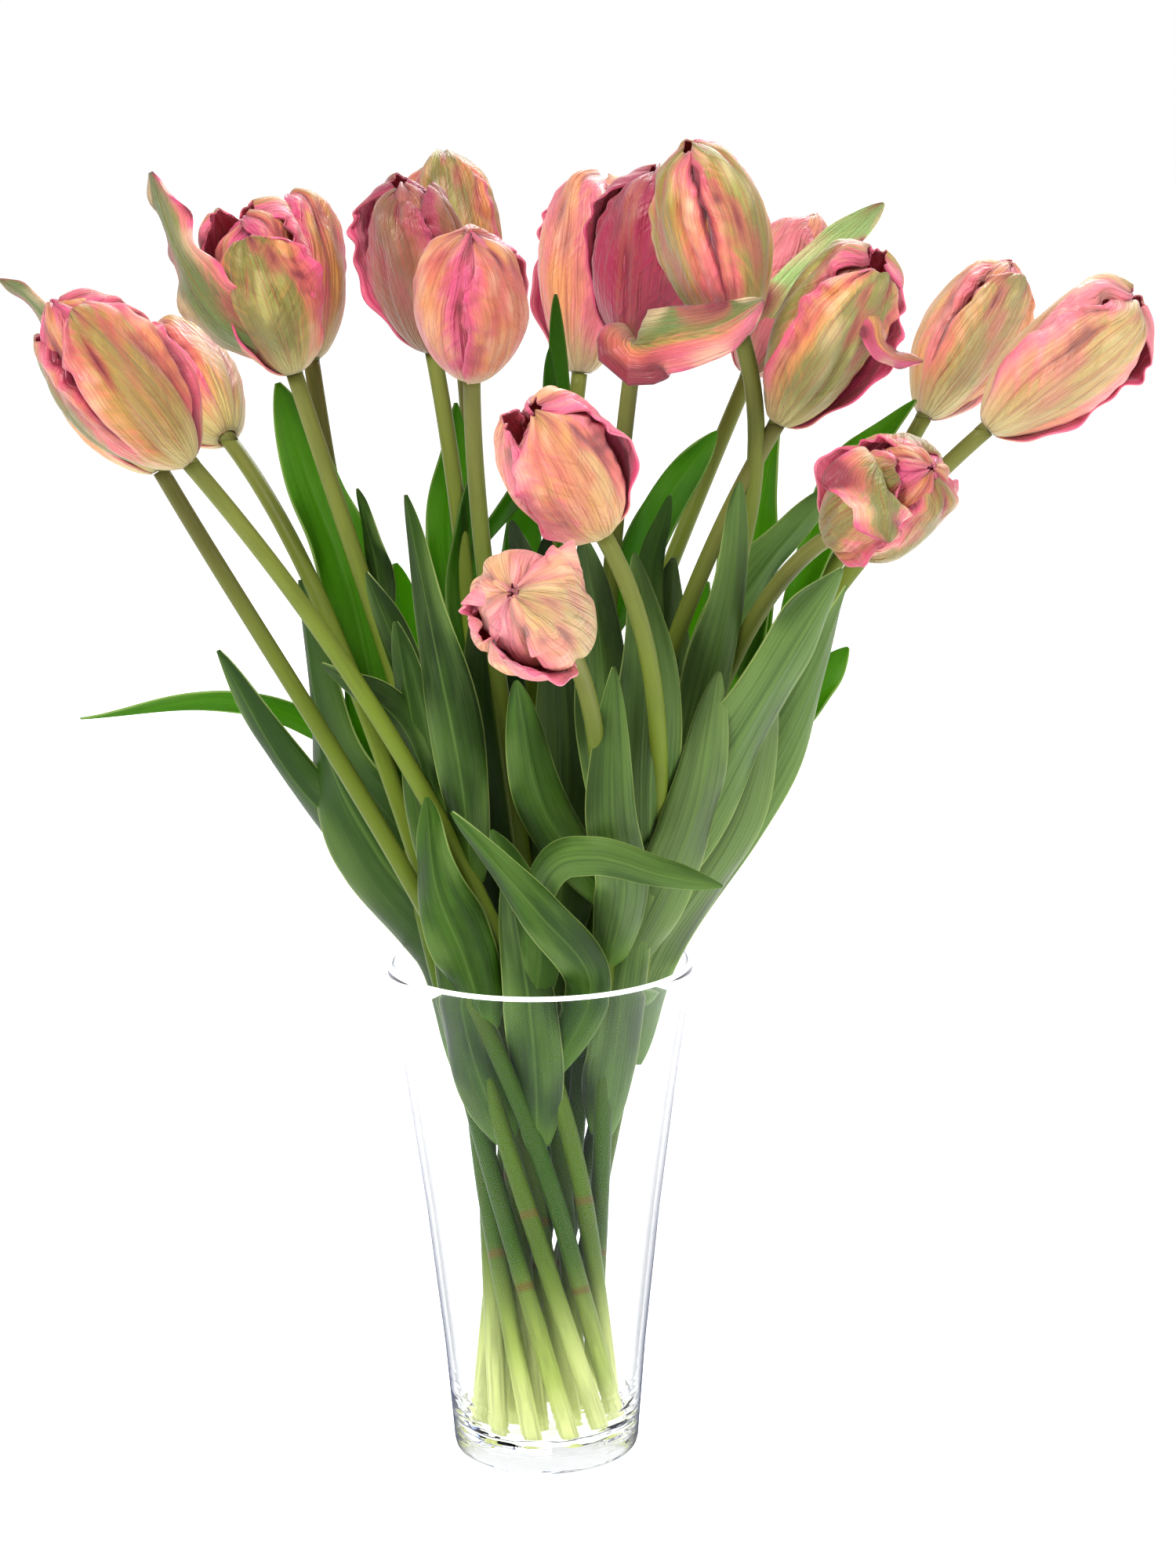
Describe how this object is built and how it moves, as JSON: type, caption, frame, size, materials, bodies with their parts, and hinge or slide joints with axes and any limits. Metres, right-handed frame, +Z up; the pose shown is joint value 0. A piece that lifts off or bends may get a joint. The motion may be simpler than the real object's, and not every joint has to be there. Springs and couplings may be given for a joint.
{
  "type": "vase of tulips",
  "caption": "Cut tulips with flamed pink, salmon and green blooms, long stems and broad leaves, standing in a tapered clear glass vase.",
  "frame": {"origin": "centre of the vase's foot, on the surface it stands on", "axes": "+Z up, -Y towards the viewer of the picture, +X to the viewer's right"},
  "size_m": [0.5283, 0.3626, 0.6412],
  "materials": {
    "vase_glass": "clear, polished",
    "petals": "soft satin, streaked pink, salmon and olive",
    "stems_and_leaves": "satin with a pale bloom"
  },
  "bodies": {
    "root": {"vase": "vase_glass", "leafy_stems_01_02_03_04_05_06_07": "stems_and_leaves", "leafy_stem_08": "stems_and_leaves", "leafy_stems_09_12": "stems_and_leaves", "leafy_stems_10_11_13": "stems_and_leaves", "leafy_stems_14_15": "stems_and_leaves", "leafy_stem_16": "stems_and_leaves", "leafy_stems_17_18": "stems_and_leaves", "bloom_01": "petals", "bloom_02": "petals", "bloom_03": "petals", "bloom_04": "petals", "bloom_05": "petals", "bloom_06": "petals", "bloom_07": "petals", "bloom_08": "petals", "bloom_09": "petals", "bloom_10": "petals", "bloom_11": "petals", "bloom_12": "petals", "bloom_13": "petals", "bloom_14": "petals", "bloom_15": "petals", "bloom_16": "petals", "bloom_17": "petals", "bloom_18": "petals"}
  },
  "joints": []
}
